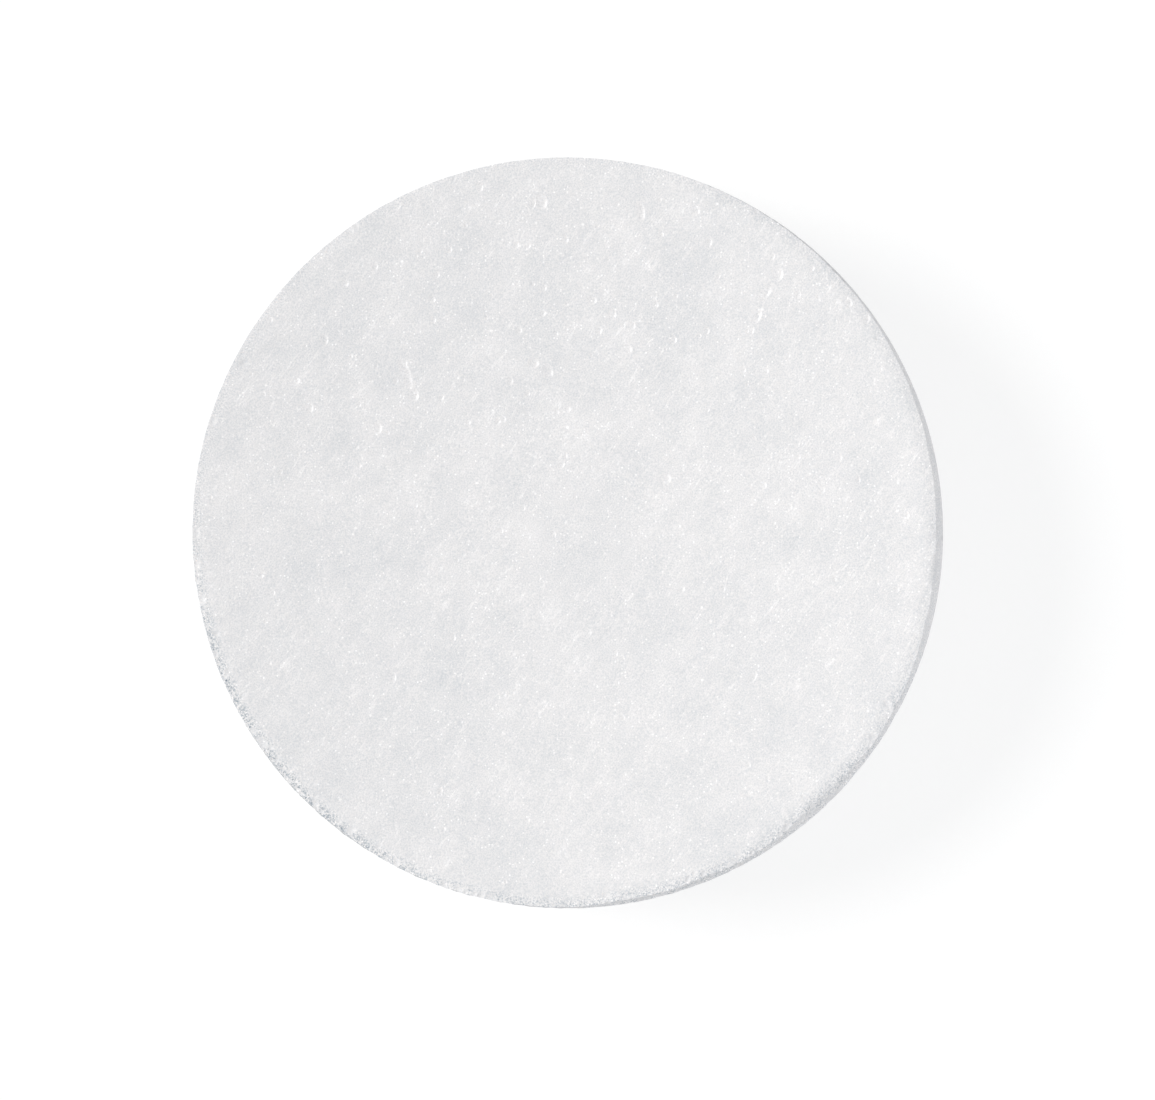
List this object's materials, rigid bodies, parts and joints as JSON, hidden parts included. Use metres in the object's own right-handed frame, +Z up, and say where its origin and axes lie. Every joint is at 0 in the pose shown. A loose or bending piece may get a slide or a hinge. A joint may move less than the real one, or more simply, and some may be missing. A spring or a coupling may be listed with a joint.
{
  "type": "shaving soap puck",
  "caption": "Round cake of hard white shaving soap with a plain upright side, worn round edges and a slightly sunken, pitted top face to lather a brush on.",
  "frame": {"origin": "middle of the flat underside that the puck rests on", "axes": "+Z up through the middle of the top face, along the puck's turning axis; X and Y lie in the underside and are alike"},
  "size_m": [0.075, 0.075, 0.022],
  "materials": {
    "hard_soap": "matte"
  },
  "bodies": {
    "root": {"soap_puck": "hard_soap"}
  },
  "joints": []
}
